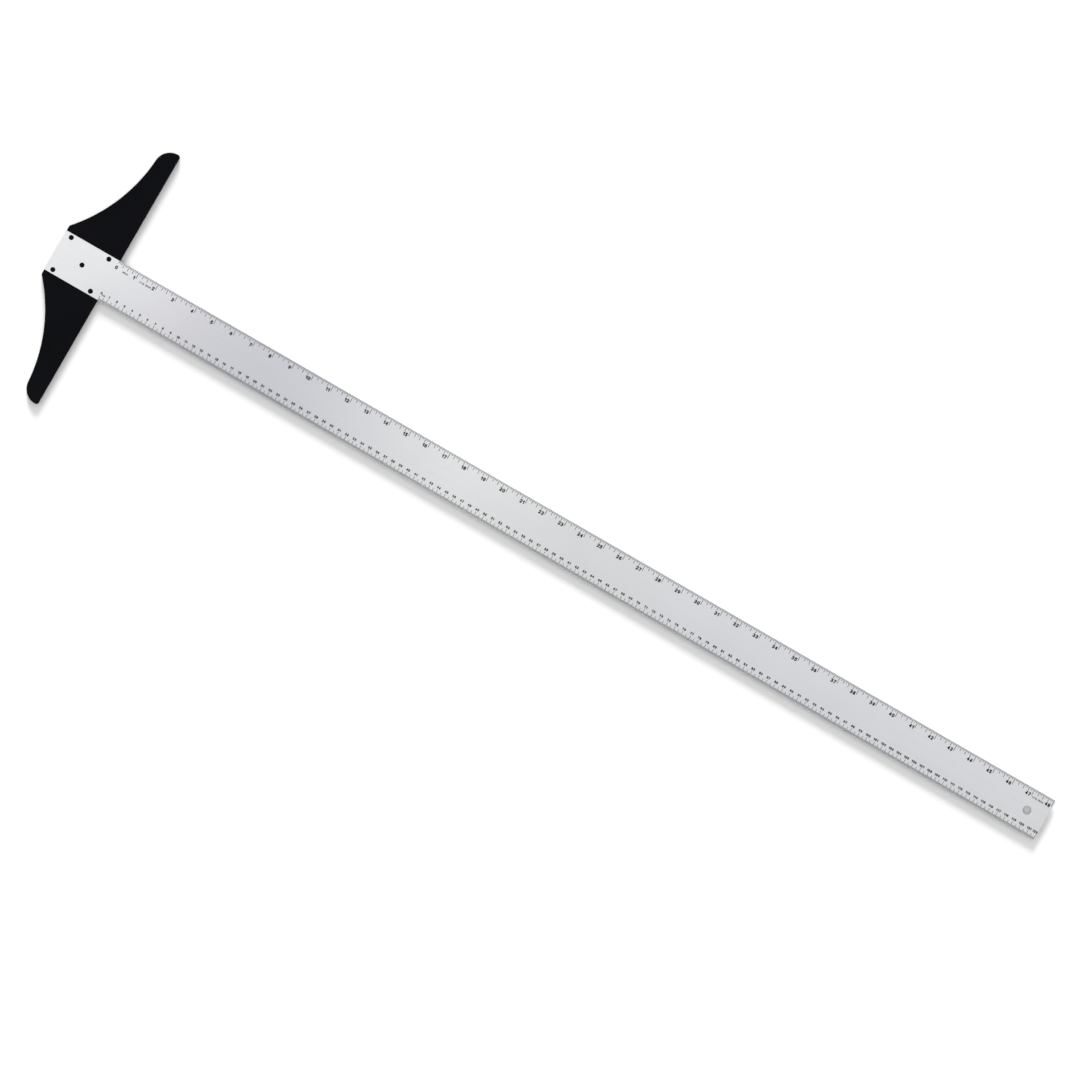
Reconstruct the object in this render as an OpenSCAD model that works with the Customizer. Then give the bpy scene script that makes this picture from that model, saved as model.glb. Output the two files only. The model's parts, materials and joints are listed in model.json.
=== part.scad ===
// T square: a long aluminium blade riveted into the recess of a moulded plastic head.
// Sizes are in millimetres. The origin is on the head's working edge, on the blade's
// centreline and at the blade's underside, where the edge and the top of a drawing board meet.
// +X runs along the blade to its free end, +Y to the inch edge, +Z up off the board.

/* [Blade] */
// Length of the blade beyond the head's working edge
blade_reach = 1221.2; // [600:0.2:1300]
// Width of the blade
blade_w = 50.8; // [50:0.1:56]
// Thickness of the blade
blade_t = 1.6; // [1.2:0.1:2.4]
// Radius of the two corners at the blade's free end
blade_corner_r = 1.6; // [0.4:0.1:8]
// Diameter of the hanging hole
hang_hole_d = 10; // [5:0.5:16]
// Distance from the free end to the centre of the hanging hole
hang_hole_inset = 23.6; // [12:0.2:60]

/* [Head] */
// Length of the head, across the blade
head_l = 324.3; // [310:0.1:350]
// Width of the head at the blade, from the working edge to the outer edge
head_w = 69.6; // [67:0.1:76]
// Thickness of the head under the blade
head_floor_t = 4.8; // [4.4:0.1:8]
// Gap between each edge of the blade and the wall of the recess
recess_gap = 0.2; // [0.1:0.05:0.4]
// Distance from the centreline to the centre of the corner that ends the straight outer edge
shoulder_y = 30.7; // [30:0.1:34]
// Radius of that corner
shoulder_r = 2.4; // [1:0.1:3]
// Radius of the concave outer edge of each wing
sweep_r = 189; // [170:0.5:240]
// Width of a wing at its tip
tip_w = 22; // [21.5:0.1:26]
// Radius of the tip's round outer corner
tip_r = 19; // [14:0.1:20]
// Radius of the corner between the tip and the working edge
tip_corner_r = 2.9; // [0.5:0.1:3]

/* [Rivets] */
// Distance from the working edge to the outer pair of rivets
rivet_outer_x = 61; // [56:0.1:62]
// Distance from the working edge to the middle rivet
rivet_middle_x = 35; // [28:0.1:42]
// Distance from the working edge to the inner pair of rivets
rivet_inner_x = 12; // [8:0.1:16]
// Distance from the centreline to each pair's rivets
rivet_y = 20.9; // [18:0.1:21.5]
// Diameter of the domed rivet head
rivet_head_d = 5.8; // [4.6:0.1:6.4]
// Height of the domed rivet head
rivet_head_h = 1; // [0.6:0.1:1.6]
// Diameter of the shank
rivet_d = 3.2; // [2.8:0.1:3.4]
// Diameter of the hollow in the shank's lower end
rivet_hollow_d = 2.2; // [1.4:0.1:2.2]
// Diameter of the rolled lower end
clinch_d = 5; // [4.2:0.1:5.6]
// Height of the rolled lower end
clinch_h = 0.9; // [0.5:0.1:1]
// Outside diameter of the backing washer
washer_d = 7; // [6.4:0.1:7.4]
// Thickness of the backing washer
washer_t = 0.6; // [0.4:0.1:0.8]
// Diameter of the counterbore that holds the washer and the rolled end
counterbore_d = 7.8; // [7.6:0.1:9]
// Depth of that counterbore
counterbore_h = 1.9; // [1.9:0.1:2.4]

/* [Hidden] */
PLACES = [
    ["outer_inch", -rivet_outer_x, rivet_y],
    ["inner_inch", -rivet_inner_x, rivet_y],
    ["middle", -rivet_middle_x, 0],
    ["outer_metric", -rivet_outer_x, -rivet_y],
    ["inner_metric", -rivet_inner_x, -rivet_y]
];

// Facets of a full circle, the steps along an outline's arcs, and how far a cut overshoots
$fn = 64;
sweep_steps = 36;
corner_steps = 12;
tip_steps = 24;
overshoot = 1;
// Running room round a rivet's shank, on the diameter
shank_room = 0.1;
// The plain rim under a rivet head's dome, and how far the hollow runs up inside the shank
rivet_rim_h = 0.25;
hollow_h = 2.6;

// Head outline: arcs about these centres, each touching the next. The small corner at a
// wing's tip shrinks where the tip's round corner leaves it less room.
shoulder = [-head_w + shoulder_r, shoulder_y];
tip = [-tip_w + tip_r, head_l / 2 - tip_r];
small_r = min(tip_corner_r, tip_w - tip_r);
tip_corner = [-small_r, head_l / 2 - small_r];
sweep = meeting(tip, sweep_r + tip_r, shoulder, sweep_r + shoulder_r);

// Heights down a rivet: the counterbore's roof and the washer's underside
roof_z = -head_floor_t + counterbore_h;
clinch_z = roof_z - washer_t;

// Where a circle about a and a circle about b cross, on the right-hand side going from a to b
function meeting(a, ra, b, rb) =
    let(
        gap = norm(b - a),
        along = (b - a) / gap,
        reach = (ra * ra - rb * rb + gap * gap) / (2 * gap),
        side = sqrt(ra * ra - reach * reach)
    )
    a + along * reach + [along[1], -along[0]] * side;

// Direction from a to b, in degrees
function heading(a, b) = atan2(b[1] - a[1], b[0] - a[0]);

// Points along an arc, both ends included
function arc(centre, r, from, to, steps) = [
    for (i = [0:steps])
        let(a = from + (to - from) * i / steps)
        centre + r * [cos(a), sin(a)]
];

// Points along a quarter or half of an ellipse with half axes rx and ry
function oval(centre, rx, ry, from, to, steps) = [
    for (i = [0:steps])
        let(a = from + (to - from) * i / steps)
        centre + [rx * cos(a), ry * sin(a)]
];

function mirrored(points) = [for (i = [len(points) - 1:-1:0]) [points[i][0], -points[i][1]]];

// The +Y half of the head's outline, from the outer edge round the wing to the working edge
wing_edge = concat(
    arc(shoulder, shoulder_r, 180, heading(shoulder, sweep), corner_steps),
    arc(sweep, sweep_r, heading(sweep, shoulder), heading(sweep, tip), sweep_steps),
    arc(tip, tip_r, heading(tip, sweep), 90, tip_steps),
    arc(tip_corner, small_r, 90, 0, corner_steps)
);

module blade_outline() {
    corner = [blade_reach - blade_corner_r, blade_w / 2 - blade_corner_r];
    free_corner = arc(corner, blade_corner_r, 90, 0, corner_steps);
    polygon(concat([[-head_w, blade_w / 2]], free_corner, mirrored(free_corner), [[-head_w, -blade_w / 2]]));
}

module rivet_holes(bottom_z) {
    for (place = PLACES)
        translate([place[1], place[2], bottom_z - overshoot])
            cylinder(d = rivet_d + shank_room, h = blade_t - bottom_z + 2 * overshoot);
}

module blade() {
    color("#d9dbdf")
        difference() {
            linear_extrude(blade_t) blade_outline();
            translate([blade_reach - hang_hole_inset, 0, -overshoot])
                cylinder(d = hang_hole_d, h = blade_t + 2 * overshoot);
            rivet_holes(0);
        }
}

module head() {
    recess_w = blade_w + 2 * recess_gap;
    color("#141519")
        difference() {
            translate([0, 0, -head_floor_t])
                linear_extrude(head_floor_t + blade_t)
                    polygon(concat(wing_edge, mirrored(wing_edge)));
            translate([-head_w - overshoot, -recess_w / 2, 0])
                cube([head_w + 2 * overshoot, recess_w, blade_t + overshoot]);
            rivet_holes(-head_floor_t);
            for (place = PLACES)
                translate([place[1], place[2], -head_floor_t - overshoot])
                    cylinder(d = counterbore_d, h = counterbore_h + overshoot);
        }
}

// A semi-tubular rivet: low domed head, shank, and a hollow lower end rolled outwards
module rivet(place) {
    rim = [0, blade_t + rivet_rim_h];
    roll_in = rivet_hollow_d / 2;
    roll_out = clinch_d / 2;
    roll = [(roll_in + roll_out) / 2, clinch_z];
    profile = concat(
        oval(rim, rivet_head_d / 2, rivet_head_h - rivet_rim_h, 90, 0, corner_steps),
        [[rivet_head_d / 2, blade_t], [rivet_d / 2, blade_t], [rivet_d / 2, clinch_z]],
        oval(roll, (roll_out - roll_in) / 2, clinch_h, 0, -180, corner_steps),
        [[roll_in, clinch_z + hollow_h], [0, clinch_z + hollow_h]]
    );
    color("#0c0c0e")
        translate([place[1], place[2], 0])
            rotate_extrude() polygon(profile);
}

// The flat washer that spreads a rivet's rolled end over the plastic
module washer(place) {
    color("#b9bbbd")
        translate([place[1], place[2], clinch_z])
            difference() {
                cylinder(d = washer_d, h = washer_t);
                translate([0, 0, -overshoot])
                    cylinder(d = rivet_d + shank_room, h = washer_t + 2 * overshoot);
            }
}

blade();
head();
for (place = PLACES) {
    rivet(place);
    washer(place);
}
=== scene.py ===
"""A 48 inch T square: the looks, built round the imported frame.

Metres, in the frame's own axes: +X runs along the blade from the head's working edge to the
free end, +Y to the inch edge, +Z up off the drawing board. The blade's underside is at Z = 0.
"""

import json
import math
from collections import namedtuple
from functools import cache

import bmesh
import bpy
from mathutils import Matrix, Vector
from mathutils.geometry import delaunay_2d_cdt


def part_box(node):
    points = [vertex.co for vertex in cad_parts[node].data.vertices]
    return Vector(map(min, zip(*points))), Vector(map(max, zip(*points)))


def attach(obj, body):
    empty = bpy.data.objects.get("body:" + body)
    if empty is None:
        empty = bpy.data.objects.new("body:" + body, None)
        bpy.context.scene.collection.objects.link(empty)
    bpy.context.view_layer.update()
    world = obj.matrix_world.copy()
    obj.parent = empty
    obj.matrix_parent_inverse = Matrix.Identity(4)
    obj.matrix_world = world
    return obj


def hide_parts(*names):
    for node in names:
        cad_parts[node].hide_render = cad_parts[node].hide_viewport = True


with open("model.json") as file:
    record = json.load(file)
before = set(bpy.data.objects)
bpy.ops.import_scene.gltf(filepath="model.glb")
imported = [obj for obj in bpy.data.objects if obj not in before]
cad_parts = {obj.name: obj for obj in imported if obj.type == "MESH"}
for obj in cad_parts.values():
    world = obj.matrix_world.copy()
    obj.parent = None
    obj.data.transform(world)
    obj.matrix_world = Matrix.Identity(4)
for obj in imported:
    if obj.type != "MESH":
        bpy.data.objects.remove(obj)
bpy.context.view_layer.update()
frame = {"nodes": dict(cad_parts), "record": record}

MM = 0.001
INCH = 0.0254

# ---------------------------------------------------------------- places, from the frame
BLADE_LO, BLADE_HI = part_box("blade")
HEAD_LO, HEAD_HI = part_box("head")
RIVETS = [n for n in frame["nodes"] if n.startswith("rivet_")]
WASHERS = [n for n in frame["nodes"] if n.startswith("washer_")]
HANGING_HOLE = next(m for m in frame["record"]["mounts"] if m["name"] == "hanging_hole")

BLADE_TOP = BLADE_HI.z
BLADE_HALF = BLADE_HI.y
FLOOR_Z = HEAD_LO.z


# ---------------------------------------------------------------- camera and light
VIEW_WIDTH = 1.2203  # at the blade's top
TILT = math.radians(29.98)  # the blade falls to the right by this angle
AIM = Vector((0.5685, -0.0105, BLADE_TOP))  # the view's middle
LENS_MM, SENSOR_MM = 200, 36
WORLD_STRENGTH = 0.566
FLOOR_HALF = 12.0


def make_camera():
    data = bpy.data.cameras.new("camera")
    data.lens = LENS_MM
    data.sensor_width = SENSOR_MM
    camera = bpy.data.objects.new("camera", data)
    bpy.context.collection.objects.link(camera)
    distance = VIEW_WIDTH * LENS_MM / SENSOR_MM
    camera.location = AIM + Vector((0, 0, distance))
    camera.rotation_euler = (0, 0, TILT)
    bpy.context.scene.camera = camera


def make_lamp(name, energy, width, elevation, glare):
    """A round soft light, width degrees across, seen at that elevation past the picture's top.

    Without glare, metal and polished faces don't mirror it.
    """
    light = bpy.data.lights.new(name, "SUN")
    light.energy = energy
    light.angle = math.radians(width)
    lamp = bpy.data.objects.new(name, light)
    bpy.context.collection.objects.link(lamp)
    up_screen = Vector((-math.sin(TILT), math.cos(TILT), 0))
    rise = math.radians(elevation)
    towards = up_screen * math.cos(rise) + Vector((0, 0, math.sin(rise)))
    lamp.rotation_mode = "QUATERNION"
    lamp.rotation_quaternion = towards.to_track_quat("Z", "Y")
    lamp.visible_glossy = glare


def make_light():
    scene = bpy.context.scene
    scene.view_settings.view_transform = "Standard"
    scene.view_settings.look = "None"
    world = bpy.data.worlds.new("studio")
    world.use_nodes = True
    background = world.node_tree.nodes["Background"]
    background.inputs["Color"].default_value = (1, 1, 1, 1)
    background.inputs["Strength"].default_value = WORLD_STRENGTH
    scene.world = world
    make_lamp("key", energy=6.0, width=27, elevation=17, glare=False)
    make_lamp("overhead", energy=0.74, width=100, elevation=90, glare=True)


def make_floor():
    mesh = bpy.data.meshes.new("floor")
    corners = box_corners(-FLOOR_HALF, FLOOR_HALF, -FLOOR_HALF, FLOOR_HALF)
    mesh.from_pydata([(x, y, FLOOR_Z) for x, y in corners], [], [(0, 1, 2, 3)])
    floor = bpy.data.objects.new("floor", mesh)
    bpy.context.collection.objects.link(floor)
    floor.data.materials.append(plain_white())


# ---------------------------------------------------------------- node helpers
MOST_NOISE = (0.3, 0.7)  # the span that holds most of a noise's values


def new_material(name):
    """A material with a Principled shader, and (tree, shader) to build on."""
    material = bpy.data.materials.new(name)
    material.use_nodes = True
    tree = material.node_tree
    return material, tree, tree.nodes["Principled BSDF"]


def add(tree, kind, settings=None, **inputs):
    """A node with its settings, and its inputs set to values or linked from sockets."""
    node = tree.nodes.new("ShaderNode" + kind)
    for key, value in (settings or {}).items():
        setattr(node, key, value)
    for key, value in inputs.items():
        socket = node.inputs[key.replace("_", " ")]
        if isinstance(value, bpy.types.NodeSocket):
            tree.links.new(value, socket)
        else:
            socket.default_value = value
    return node


def stretched(tree, scale):
    """Object coordinates, scaled along each axis: larger is finer."""
    place = add(tree, "TexCoord").outputs["Object"]
    return add(tree, "Mapping", Vector=place, Scale=scale).outputs["Vector"]


def noise(tree, scale, detail=3.0, roughness=0.5, stretch=(1, 1, 1)):
    """Noise with about scale patches to the metre, times stretch along each axis."""
    vector = stretched(tree, stretch)
    made = add(tree, "TexNoise", Vector=vector, Scale=scale, Detail=detail, Roughness=roughness)
    return made.outputs["Fac"]


def ranged(tree, value, low, high, span=(0, 1)):
    """The value spread over low to high, as it goes through its span."""
    start, end = span
    made = add(
        tree, "MapRange", Value=value, From_Min=start, From_Max=end, To_Min=low, To_Max=high
    )
    return made.outputs["Result"]


def shades(tree, value, dark, light, span=MOST_NOISE):
    """A ramp from one colour to another, as the value goes through its span."""
    made = add(tree, "ValToRGB", Fac=value)
    for stop, position, colour in zip(made.color_ramp.elements, span, (dark, light)):
        stop.position = position
        stop.color = (*colour, 1)
    return made.outputs["Color"]


def bumped(tree, shader, height, strength, depth):
    made = add(tree, "Bump", Height=height, Strength=strength, Distance=depth)
    tree.links.new(made.outputs["Normal"], shader.inputs["Normal"])


# ---------------------------------------------------------------- materials
def plain_white():
    material, _, shader = new_material("floor_white")
    shader.inputs["Base Color"].default_value = (0.87, 0.87, 0.87, 1)
    shader.inputs["Roughness"].default_value = 0.9
    shader.inputs["Specular IOR Level"].default_value = 0.0
    return material


# Painted light and shade along the blade, in its base colour: lighter at the head and round 440 mm,
# darkest round 180 mm. Each stop: (distance from the working edge, colour)
PAINTED_LIGHT_ALONG_BLADE = (
    (-60 * MM, (0.86, 0.87, 0.88)),
    (0, (0.81, 0.82, 0.84)),
    (90 * MM, (0.72, 0.72, 0.75)),
    (180 * MM, (0.63, 0.64, 0.68)),
    (300 * MM, (0.68, 0.69, 0.72)),
    (440 * MM, (0.78, 0.79, 0.80)),
    (600 * MM, (0.72, 0.73, 0.74)),
    (850 * MM, (0.70, 0.71, 0.74)),
    (1200 * MM, (0.70, 0.71, 0.73)),
)
# Painted light and shade across the blade: its base colour is a little lighter at the inch edge and
# darker at the metric edge
INCH_SIDE_PAINTED_LIGHT, METRIC_SIDE_PAINTED_SHADE = 1.02, 0.97


def multiplied(tree, *factors):
    """The product of the sockets and numbers given."""
    product = factors[0]
    for factor in factors[1:]:
        made = add(tree, "Math", {"operation": "MULTIPLY"})
        tree.links.new(product, made.inputs[0])
        tree.links.new(factor, made.inputs[1])
        product = made.outputs["Value"]
    return product


def satin_aluminium():
    """Clear-anodised strip: fine grain drawn along the blade, soft handling marks, and painted light
    and shade along and across the blade in its base colour.
    """
    material, tree, shader = new_material("satin_aluminium")
    grain = noise(tree, 900, detail=4, roughness=0.65, stretch=(0.012, 4, 1))
    streaks = noise(tree, 60, detail=3, roughness=0.6, stretch=(0.02, 6, 1))
    marks = noise(tree, 14, detail=4, roughness=0.55)

    place = add(tree, "SeparateXYZ", Vector=add(tree, "TexCoord").outputs["Object"])
    along = ranged(tree, place.outputs["X"], 0, 1, (BLADE_LO.x, BLADE_HI.x))
    # The base colour's painted light and shade along the blade: a ramp through the stops above
    painted_light_ramp = add(tree, "ValToRGB", Fac=along)
    painted_light_ramp.color_ramp.interpolation = "CARDINAL"
    stops = painted_light_ramp.color_ramp.elements
    while len(stops) < len(PAINTED_LIGHT_ALONG_BLADE):
        stops.new(0.5)  # its place is set below
    for stop, (x, colour) in zip(stops, PAINTED_LIGHT_ALONG_BLADE):
        stop.position = (x - BLADE_LO.x) / (BLADE_HI.x - BLADE_LO.x)
        stop.color = (*colour, 1)
    # Painted shade across the blade: the base colour darkens towards the metric edge
    width = (-BLADE_HALF, BLADE_HALF)
    across = ranged(tree, place.outputs["Y"], METRIC_SIDE_PAINTED_SHADE, INCH_SIDE_PAINTED_LIGHT, width)
    fine = ranged(tree, grain, 0.96, 1.04, MOST_NOISE)
    broad = ranged(tree, streaks, 0.992, 1.008, MOST_NOISE)

    shaded = add(tree, "VectorMath", {"operation": "SCALE"})
    tree.links.new(painted_light_ramp.outputs["Color"], shaded.inputs[0])
    tree.links.new(multiplied(tree, across, fine, broad), shaded.inputs["Scale"])
    tree.links.new(shaded.outputs["Vector"], shader.inputs["Base Color"])
    shader.inputs["Metallic"].default_value = 1.0
    tree.links.new(ranged(tree, marks, 0.33, 0.43, MOST_NOISE), shader.inputs["Roughness"])
    bumped(tree, shader, grain, strength=0.25, depth=0.02 * MM)
    return material


def moulded_plastic():
    """Black moulded plastic with a fine spark-eroded texture."""
    material, tree, shader = new_material("moulded_plastic")
    texture = noise(tree, 2600, detail=2)
    flow = noise(tree, 22)
    colour = shades(tree, flow, (0.0016, 0.0018, 0.0028), (0.0024, 0.0026, 0.0038))
    tree.links.new(colour, shader.inputs["Base Color"])
    tree.links.new(ranged(tree, texture, 0.42, 0.60, MOST_NOISE), shader.inputs["Roughness"])
    shader.inputs["Specular IOR Level"].default_value = 0.05
    bumped(tree, shader, texture, strength=0.35, depth=0.03 * MM)
    return material


def black_enamel():
    """Baked black finish on a rivet, rubbed a little thinner in places."""
    material, tree, shader = new_material("black_enamel")
    rub = noise(tree, 700, detail=4, roughness=0.6)
    colour = shades(tree, rub, (0.0015, 0.0015, 0.002), (0.006, 0.006, 0.0065), (0.45, 0.8))
    tree.links.new(colour, shader.inputs["Base Color"])
    tree.links.new(ranged(tree, rub, 0.38, 0.54, MOST_NOISE), shader.inputs["Roughness"])
    shader.inputs["Specular IOR Level"].default_value = 0.06
    bumped(tree, shader, rub, strength=0.2, depth=0.03 * MM)
    return material


def zinc_plate():
    """Bright zinc on a stamped steel washer, finely speckled and with a dull bloom."""
    material, tree, shader = new_material("zinc_plate")
    bloom = noise(tree, 500, detail=4, roughness=0.6)
    speckle = noise(tree, 2500, detail=2)
    colour = shades(tree, bloom, (0.46, 0.47, 0.49), (0.66, 0.66, 0.66))
    tree.links.new(colour, shader.inputs["Base Color"])
    shader.inputs["Metallic"].default_value = 1.0
    tree.links.new(ranged(tree, bloom, 0.28, 0.5, MOST_NOISE), shader.inputs["Roughness"])
    bumped(tree, shader, speckle, strength=0.15, depth=0.01 * MM)
    return material


def screen_ink():
    """Matt black ink, printed a little thin in spots."""
    material, tree, shader = new_material("screen_ink")
    spots = noise(tree, 4000, roughness=0.6)
    colour = shades(tree, spots, (0.003, 0.003, 0.0035), (0.010, 0.010, 0.011), (0.35, 0.75))
    tree.links.new(colour, shader.inputs["Base Color"])
    tree.links.new(ranged(tree, spots, 0.55, 0.75), shader.inputs["Roughness"])
    shader.inputs["Specular IOR Level"].default_value = 0.05
    return material


# ---------------------------------------------------------------- mesh helpers
SHARP = math.radians(40)  # an edge between faces that turn by more than this gets rounded
LARGEST_FACES_ONLY = 100  # the weighted normals' highest weight


def finish_piece(name, mesh, material, slot, *nodes):
    """Names a piece, gives it its material, and ties it to the frame."""
    piece = bpy.data.objects.new(name, mesh)
    mesh.name = name
    bpy.context.collection.objects.link(piece)
    mesh.materials.clear()
    mesh.materials.append(material)
    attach(piece, "root")
    if nodes:
        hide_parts(*nodes)


def box_corners(x0, x1, y0, y1):
    return [(x0, y0), (x1, y0), (x1, y1), (x0, y1)]


def arc(centre, radius, start, end, steps):
    """Points along an arc in the XY plane, both ends included, in degrees."""
    turns = [math.radians(start + (end - start) * i / steps) for i in range(steps + 1)]
    return [(centre[0] + radius * math.cos(a), centre[1] + radius * math.sin(a)) for a in turns]


def prism(name, outline, bottom, top):
    """A closed solid: the outline, anticlockwise from above, drawn up from bottom to top."""
    made = bmesh.new()
    low = [made.verts.new((x, y, bottom)) for x, y in outline]
    high = [made.verts.new((x, y, top)) for x, y in outline]
    made.faces.new(reversed(low))
    made.faces.new(high)
    for i, vertex in enumerate(low):
        j = (i + 1) % len(low)
        made.faces.new((vertex, low[j], high[j], high[i]))
    mesh = bpy.data.meshes.new(name)
    made.to_mesh(mesh)
    made.free()
    mesh.shade_smooth()
    thing = bpy.data.objects.new(name, mesh)
    bpy.context.collection.objects.link(thing)
    return thing


def disc(name, x, y, radius, bottom, top, steps=64):
    return prism(name, arc((x, y), radius, 0, 360 - 360 / steps, steps - 1), bottom, top)


def machined(name, solid, cutters, edge_radius, edge_steps):
    """The solid less its cutters, with its sharp edges rounded: a new mesh."""
    for cutter in cutters:
        cut = solid.modifiers.new("cut", "BOOLEAN")
        cut.operation = "DIFFERENCE"
        cut.solver = "EXACT"
        cut.object = cutter
    rounding = solid.modifiers.new("edge", "BEVEL")
    rounding.width = edge_radius
    rounding.segments = edge_steps
    rounding.limit_method = "ANGLE"
    rounding.angle_limit = SHARP
    rounding.use_clamp_overlap = False
    shading = solid.modifiers.new("shading", "WEIGHTED_NORMAL")
    shading.weight = LARGEST_FACES_ONLY
    bpy.context.view_layer.update()
    graph = bpy.context.evaluated_depsgraph_get()
    mesh = bpy.data.meshes.new_from_object(solid.evaluated_get(graph))
    for thing in (solid, *cutters):
        bpy.data.objects.remove(thing)
    mesh.name = name
    return mesh


def rounded_outline(corners, steps=10):
    """Points and outward directions round an outline of quarter arcs, anticlockwise.

    corners holds (x, y, radius, start angle) for each arc.
    """
    loop = []
    for x, y, radius, start in corners:
        for i in range(steps + 1):
            a = math.radians(start + 90 * i / steps)
            out = Vector((math.cos(a), math.sin(a)))
            loop.append((Vector((x, y)) + out * radius, out))
    return loop


def bore(x, y, radius, steps):
    """Points and directions round a hole: clockwise, pointing at its centre."""
    loop = []
    for i in range(steps):
        a = -math.tau * i / steps
        out = Vector((math.cos(a), math.sin(a)))
        loop.append((Vector((x, y)) + out * radius, -out))
    return loop


def bored_plate(name, loops, bottom, top, edge_steps=4):
    """A flat plate with round edges.

    loops holds its outline and its bores, each with the radius of its edge.
    """
    made = bmesh.new()
    normals = []
    rims = {bottom: [], top: []}
    quarter = [math.pi / 2 * i / edge_steps for i in range(edge_steps + 1)]
    for loop, edge_radius in loops:
        rows = [(bottom + edge_radius, a - math.pi / 2) for a in quarter]
        rows += [(top - edge_radius, a) for a in quarter]
        grid = []
        for centre_z, a in rows:
            ring = []
            for point, out in loop:
                place = point - out * edge_radius * (1 - math.cos(a))
                height = centre_z + edge_radius * math.sin(a)
                ring.append(made.verts.new((place.x, place.y, height)))
                normals.append((out.x * math.cos(a), out.y * math.cos(a), math.sin(a)))
            grid.append(ring)
        for low, high in zip(grid, grid[1:]):
            for i, vertex in enumerate(low):
                j = (i + 1) % len(low)
                made.faces.new((vertex, low[j], high[j], high[i]))
        rims[bottom].append(grid[0])
        rims[top].append(grid[-1])
    for height, rings in rims.items():
        edges = [made.edges.get((ring[i - 1], ring[i])) for ring in rings for i in range(len(ring))]
        up = Vector((0, 0, 1 if height == top else -1))
        filled = bmesh.ops.triangle_fill(made, use_beauty=True, edges=edges, normal=up)
        for face in filled["geom"]:
            if isinstance(face, bmesh.types.BMFace) and face.normal.dot(up) < 0:
                face.normal_flip()
    mesh = bpy.data.meshes.new(name)
    made.to_mesh(mesh)
    made.free()
    mesh.shade_smooth()
    mesh.normals_split_custom_set_from_vertices(normals)
    return mesh


# ---------------------------------------------------------------- blade
FREE_CORNER_R, HEAD_CORNER_R = 1.6 * MM, 0.5 * MM
RIVET_HOLE_R = 1.65 * MM
BLADE_EDGE_R, BORE_EDGE_R = 0.2 * MM, 0.08 * MM
HANGING_HOLE_STEPS, RIVET_HOLE_STEPS = 96, 48


def middle(node):
    """The node's middle, from above."""
    lo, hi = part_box(node)
    return (lo.x + hi.x) / 2, (lo.y + hi.y) / 2


def make_blade(material):
    right, left = BLADE_HI.x - FREE_CORNER_R, BLADE_LO.x + HEAD_CORNER_R
    upper, inner = BLADE_HALF - FREE_CORNER_R, BLADE_HALF - HEAD_CORNER_R
    outline = rounded_outline(
        [
            (right, -upper, FREE_CORNER_R, -90),
            (right, upper, FREE_CORNER_R, 0),
            (left, inner, HEAD_CORNER_R, 90),
            (left, -inner, HEAD_CORNER_R, 180),
        ]
    )
    hole_x, hole_y, _ = HANGING_HOLE["pos_m"]
    bores = [bore(hole_x, hole_y, HANGING_HOLE["dims"]["r_mm"] * MM, HANGING_HOLE_STEPS)]
    bores += [bore(*middle(name), RIVET_HOLE_R, RIVET_HOLE_STEPS) for name in RIVETS]
    loops = [(outline, BLADE_EDGE_R)] + [(loop, BORE_EDGE_R) for loop in bores]
    mesh = bored_plate("blade_strip", loops, BLADE_LO.z, BLADE_TOP)
    finish_piece("blade_strip", mesh, material, "blade", "blade")


# ---------------------------------------------------------------- graduations
# The ink starts just inside the blade and ends just above it
INK_LOW, INK_HIGH = BLADE_TOP - 0.01 * MM, BLADE_TOP + 0.015 * MM
INCHES, CENTIMETRES = 48, 122

# A row of lines from 0 to last, from the edge at +Y or -Y (side). kinds says how often each
# kind of line falls and how far it reaches in from the edge, longest first. The line at zero
# is short, as the 0 stands right under it.
Scale = namedtuple("Scale", "name last pitch kinds at_zero line_width side")
INCH_SCALE = Scale(
    "inch_lines",
    last=INCHES * 16,
    pitch=INCH / 16,
    kinds=((16, 8.6 * MM), (8, 6.2 * MM), (4, 5.4 * MM), (2, 3.2 * MM), (1, 2.3 * MM)),
    at_zero=3.2 * MM,
    line_width=0.57 * MM,
    side=1,
)
CM_SCALE = Scale(
    "cm_lines",
    last=CENTIMETRES * 10,
    pitch=MM,
    kinds=((10, 6.4 * MM), (5, 5.3 * MM), (1, 2.8 * MM)),
    at_zero=5.2 * MM,
    line_width=0.48 * MM,
    side=-1,
)


def inked(name, made, material):
    mesh = bpy.data.meshes.new(name)
    made.to_mesh(mesh)
    made.free()
    finish_piece(name, mesh, material, "scale_ink")


def add_line(made, x, y0, y1, width):
    corners = box_corners(x - width / 2, x + width / 2, y0, y1)
    low = [made.verts.new((*corner, INK_LOW)) for corner in corners]
    high = [made.verts.new((*corner, INK_HIGH)) for corner in corners]
    made.faces.new(reversed(low))
    made.faces.new(high)
    for i in range(4):
        j = (i + 1) % 4
        made.faces.new((low[i], low[j], high[j], high[i]))


def make_lines(scale, material):
    made = bmesh.new()
    edge = scale.side * (BLADE_HALF - BLADE_EDGE_R)
    for i in range(scale.last + 1):
        reach = next(length for every, length in scale.kinds if i % every == 0)
        if i == 0:
            reach = scale.at_zero
        y0, y1 = sorted((edge, scale.side * (BLADE_HALF - reach)))
        add_line(made, i * scale.pitch, y0, y1, scale.line_width)
    inked(scale.name, made, material)


# ---------------------------------------------------------------- lettering
def bow(x, y, rx, ry, start, end, steps=12):
    """Points along an elliptical arc about (x, y), in degrees."""
    turns = [math.radians(start + (end - start) * i / steps) for i in range(steps + 1)]
    return [(x + rx * math.cos(a), y + ry * math.sin(a)) for a in turns]


def turned(path):
    """The same pen stroke upside down and back to front."""
    return [(1 - x, 1 - y) for x, y in path]


ZERO = bow(0.5, 0.68, 0.5, 0.32, 0, 180) + bow(0.5, 0.32, 0.5, 0.32, 180, 360) + [(1, 0.68)]
SIX_BOWL = bow(0.5, 0.32, 0.5, 0.32, 0, 360, 24)
SIX_STEM = bow(0.9, 0.32, 0.9, 0.68, 180, 104)

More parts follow.
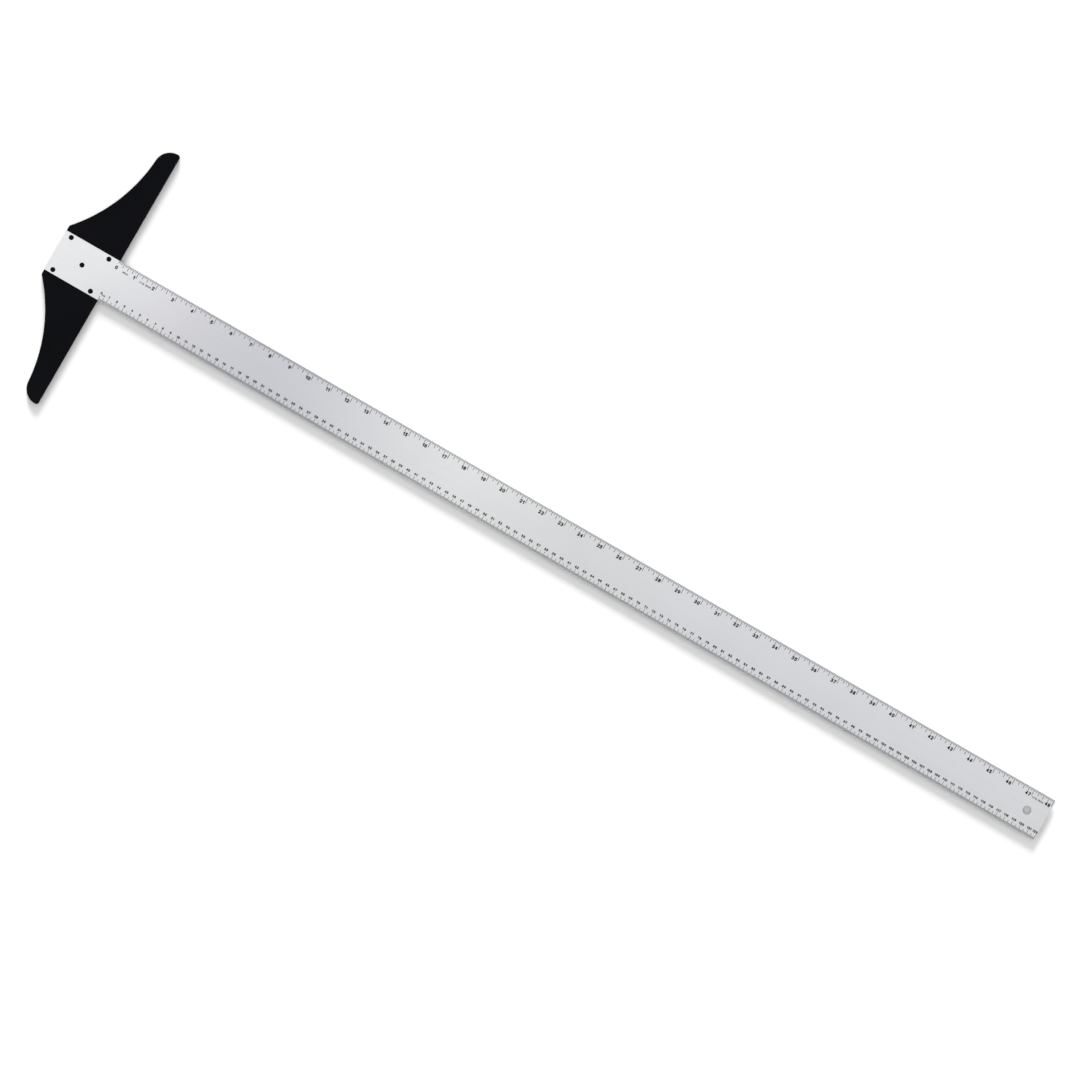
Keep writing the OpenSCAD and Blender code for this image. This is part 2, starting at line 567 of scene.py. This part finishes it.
# The pen's strokes for each character, in a box one unit wide and one unit tall. The pen has
# a round tip, so strokes that end at the same point make a rounded corner.
STROKES = {
    "0": [ZERO],
    "1": [[(0, 0.74), (1, 1)], [(1, 0), (1, 1)]],
    "2": [bow(0.5, 0.7, 0.5, 0.3, 168, -32) + [(0, 0)], [(0, 0), (1, 0)]],
    "3": [bow(0.46, 0.76, 0.44, 0.24, 155, -90), bow(0.46, 0.26, 0.54, 0.26, 90, -155)],
    "4": [[(0.76, 0), (0.76, 1)], [(0.76, 1), (0, 0.28)], [(0, 0.28), (1, 0.28)]],
    "5": [[(0.92, 1), (0.14, 1)], [(0.14, 1), (0.12, 0.58)], bow(0.45, 0.33, 0.55, 0.33, 128, -150)],
    "6": [SIX_BOWL, SIX_STEM],
    "7": [[(0, 1), (1, 1)], [(1, 1), (0.34, 0)]],
    "8": [bow(0.5, 0.76, 0.44, 0.24, 0, 360, 24), bow(0.5, 0.26, 0.5, 0.26, 0, 360, 24)],
    "9": [turned(SIX_BOWL), turned(SIX_STEM)],
    "/": [[(0, 0), (1, 1)]],
    "I": [[(0, 0), (0, 1)]],
    "N": [[(0, 0), (0, 1)], [(0, 1), (1, 0)], [(1, 0), (1, 1)]],
    "C": [bow(0.5, 0.68, 0.5, 0.32, 15, 180) + bow(0.5, 0.32, 0.5, 0.32, 180, 345)],
    "H": [[(0, 0), (0, 1)], [(1, 0), (1, 1)], [(0, 0.5), (1, 0.5)]],
    "M": [[(0, 0), (0, 1)], [(0, 1), (0.5, 0.35)], [(0.5, 0.35), (1, 1)], [(1, 0), (1, 1)]],
}
# Most characters' width for a height of 1, and the widths of those that differ
GLYPH_W = 0.68
WIDTHS = {"1": 0.48, "/": 0.5, "I": 0, "M": 0.9, " ": 0.2}

CLOSEST = 0.002  # points of a character nearer to each other than this are merged
WHOLE_HULL = 0  # has delaunay_2d_cdt return the triangles in holes and notches too

# height is in metres; weight, the pen's width, and gap are parts of the height
Lettering = namedtuple("Lettering", "height weight gap")
INCH_DIGITS = Lettering(4.4 * MM, 0.26, 0.12)
CM_DIGITS = Lettering(3.0 * MM, 0.28, 0.12)
WORDS = Lettering(2.2 * MM, 0.24, 0.24)

INCH_ROW_Y, CM_ROW_Y = BLADE_HALF - 8.2 * MM, -BLADE_HALF + 9.0 * MM
NUMERAL_GAP = 1.4 * MM  # from an inch numeral to the line that it names
END_MARGIN = 0.4 * MM  # what stays clear between the last numeral and the blade's end

# The inch scale's words stand on its numerals' line
INCH_WORDS_Y = INCH_ROW_Y - (INCH_DIGITS.height - WORDS.height) / 2

# The words on the blade: (text, distance of its middle from the working edge, row)
LABELS = (
    ("INCH", 12 * MM, INCH_WORDS_Y),
    ("1/16 INCH", 37.8 * MM, INCH_WORDS_Y),
    ("1/16 INCH", 1202.2 * MM, INCH_WORDS_Y),
    ("CM", 3.3 * MM, CM_ROW_Y - 1.5 * MM),
)


def pen_patches(path, half):
    """What a round pen tip covers along the path: triangles, and its tip at both ends."""
    closed = (path[0] - path[-1]).length < CLOSEST
    last = len(path) - 1
    ahead = [*path[1:], path[1] if closed else path[-1]]
    behind = [path[-2] if closed else path[0], *path[:-1]]
    left, right = [], []
    for before, point, after in zip(behind, path, ahead):
        way = (after - before).normalized()
        side = Vector((-way.y, way.x)) * half
        left.append(point + side)
        right.append(point - side)
    patches = [(left[i], right[i], right[i + 1]) for i in range(last)]
    patches += [(left[i], right[i + 1], left[i + 1]) for i in range(last)]
    if not closed:
        patches += [pen_tip(path[0], half), pen_tip(path[-1], half)]
    return patches


def pen_tip(centre, half, steps=16):
    turns = [math.tau * i / steps for i in range(steps)]
    return [centre + Vector((math.cos(a), math.sin(a))) * half for a in turns]


def covers(patch, point):
    """Whether the point is inside the patch, which has no corner that points inwards."""
    turns = [(b - a).cross(point - a) for a, b in zip(patch, (*patch[1:], patch[0]))]
    return min(turns) > 0 or max(turns) < 0


def merged(patches):
    """The patches as one solid from Z = -0.5 to 0.5: its points and its faces.

    It keeps the triangles of the patches' triangulation that lie inside a patch.
    """
    corners = [corner for patch in patches for corner in patch]
    numbers = iter(range(len(corners)))
    rings = [[next(numbers) for _ in patch] for patch in patches]
    places, _, triangles, _, _, _ = delaunay_2d_cdt(corners, [], rings, WHOLE_HULL, CLOSEST)
    kept = []
    for triangle in triangles:
        centre = sum((places[i] for i in triangle), Vector((0, 0))) / 3
        if any(covers(patch, centre) for patch in patches):
            kept.append(triangle)

    used = sorted({i for triangle in kept for i in triangle})
    number = {old: new for new, old in enumerate(used)}
    low = [[number[i] for i in triangle] for triangle in kept]
    high = [[i + len(used) for i in triangle] for triangle in low]
    points = [(*places[i], z) for z in (-0.5, 0.5) for i in used]
    sides = [(triangle[i - 1], triangle[i]) for triangle in low for i in range(3)]
    inner = set(sides)
    rim = [(a, b) for a, b in sides if (b, a) not in inner]
    walls = [(a, b, b + len(used), a + len(used)) for a, b in rim]
    return points, [triangle[::-1] for triangle in low] + high + walls


@cache
def glyph(character, weight):
    """A character one unit tall: its points, its faces and its width."""
    width = max(WIDTHS.get(character, GLYPH_W), weight)
    patches = []
    for path in STROKES.get(character, []):
        places = [
            Vector((x * (width - weight) + weight / 2, y * (1 - weight) + weight / 2))
            for x, y in path
        ]
        patches += pen_patches(places, weight / 2)
    points, faces = merged(patches) if patches else ([], [])
    return points, faces, width


def write(made, text, x, middle_y, style, anchor):
    """Adds a word to the mesh. x is its left, middle or right, as anchor (0, 0.5 or 1) says."""
    glyphs = [glyph(character, style.weight) for character in text]
    total = sum(width for _, _, width in glyphs) + style.gap * (len(glyphs) - 1)
    length = total * style.height
    at = min(x - anchor * length, BLADE_HI.x - END_MARGIN - length)
    foot = middle_y - style.height / 2
    for points, faces, width in glyphs:
        verts = []
        for x_part, y_part, z in points:
            place = (at + x_part * style.height, foot + y_part * style.height)
            verts.append(made.verts.new((*place, INK_LOW if z < 0 else INK_HIGH)))
        for face in faces:
            made.faces.new([verts[i] for i in face])
        at += (width + style.gap) * style.height


def make_inch_numerals(material):
    """The 0 stands under its line, and the other numerals to the left of theirs."""
    made = bmesh.new()
    write(made, "0", 0, INCH_ROW_Y, INCH_DIGITS, anchor=0.5)
    for n in range(1, INCHES + 1):
        write(made, str(n), n * INCH - NUMERAL_GAP, INCH_ROW_Y, INCH_DIGITS, anchor=1)
    inked("inch_numerals", made, material)


def make_cm_numerals(material):
    made = bmesh.new()
    for n in range(CENTIMETRES + 1):
        write(made, str(n), n * 10 * MM, CM_ROW_Y, CM_DIGITS, anchor=0.5)
    inked("cm_numerals", made, material)


def make_labels(material):
    made = bmesh.new()
    for text, x, y in LABELS:
        write(made, text, x, y, WORDS, anchor=0.5)
    inked("unit_labels", made, material)


def make_scales(material):
    make_lines(INCH_SCALE, material)
    make_lines(CM_SCALE, material)
    make_inch_numerals(material)
    make_cm_numerals(material)
    make_labels(material)


# ---------------------------------------------------------------- head
def meeting(a, ra, b, rb):
    """Where a circle about a and a circle about b cross, on the right going from a to b."""
    gap = (b - a).length
    along = (b - a) / gap
    reach = (ra * ra - rb * rb + gap * gap) / (2 * gap)
    side = math.sqrt(ra * ra - reach * reach)
    return a + along * reach + Vector((along.y, -along.x)) * side


def heading(a, b):
    return math.degrees(math.atan2(b.y - a.y, b.x - a.x))


# The outline is the CAD model's: a shoulder beside the blade, a hollow sweep, and the wing's tip
SHOULDER_Y, SHOULDER_R, SWEEP_R = 30.7 * MM, 2.4 * MM, 189 * MM
TIP_W, TIP_R, TIP_CORNER_R = 22 * MM, 19 * MM, 2.9 * MM
CORNER_STEPS, SWEEP_STEPS, TIP_STEPS = 10, 72, 32
RECESS_GAP = 0.2 * MM
COUNTERBORE_R, COUNTERBORE_H = 3.9 * MM, 1.9 * MM
HEAD_EDGE_R, HEAD_EDGE_STEPS = 0.4 * MM, 3
OVERSHOOT = 1 * MM  # how far a cutter runs past what it cuts


def head_outline():
    """The head from above, anticlockwise."""
    half = HEAD_HI.y
    shoulder = Vector((HEAD_LO.x + SHOULDER_R, SHOULDER_Y))
    tip = Vector((TIP_R - TIP_W, half - TIP_R))
    corner = Vector((-TIP_CORNER_R, half - TIP_CORNER_R))
    sweep = meeting(tip, SWEEP_R + TIP_R, shoulder, SWEEP_R + SHOULDER_R)
    wing = [
        *arc(shoulder, SHOULDER_R, 180, heading(shoulder, sweep), CORNER_STEPS),
        *arc(sweep, SWEEP_R, heading(sweep, shoulder), heading(sweep, tip), SWEEP_STEPS)[1:],
        *arc(tip, TIP_R, heading(tip, sweep), 90, TIP_STEPS)[1:],
        *arc(corner, TIP_CORNER_R, 90, 0, CORNER_STEPS),
    ]
    wing.reverse()
    return wing + [(x, -y) for x, y in reversed(wing)]


def head_cutters():
    """The recess for the blade, and each rivet's hole and counterbore."""
    wall = BLADE_HALF + RECESS_GAP
    channel = box_corners(HEAD_LO.x - OVERSHOOT, HEAD_HI.x + OVERSHOOT, -wall, wall)
    cutters = [prism("channel", channel, BLADE_LO.z, HEAD_HI.z + OVERSHOOT)]
    bottom, roof = HEAD_LO.z - OVERSHOOT, HEAD_LO.z + COUNTERBORE_H
    for name in RIVETS:
        x, y = middle(name)
        cutters.append(disc("hole", x, y, RIVET_HOLE_R, bottom, BLADE_LO.z + OVERSHOOT))
        cutters.append(disc("counterbore", x, y, COUNTERBORE_R, bottom, roof))
    return cutters


def make_head(material):
    blank = prism("blank", head_outline(), HEAD_LO.z, HEAD_HI.z)
    mesh = machined("head_moulding", blank, head_cutters(), HEAD_EDGE_R, HEAD_EDGE_STEPS)
    finish_piece("head_moulding", mesh, material, "head", "head")


# ---------------------------------------------------------------- all of it
def dress(nodes, material):
    """Gives carried-over CAD nodes a finished material."""
    for name in nodes:
        mesh = frame["nodes"][name].data
        mesh.materials.clear()
        mesh.materials.append(material)


make_camera()
make_light()
make_floor()
make_blade(satin_aluminium())
make_scales(screen_ink())
make_head(moulded_plastic())
dress(RIVETS, black_enamel())
dress(WASHERS, zinc_plate())
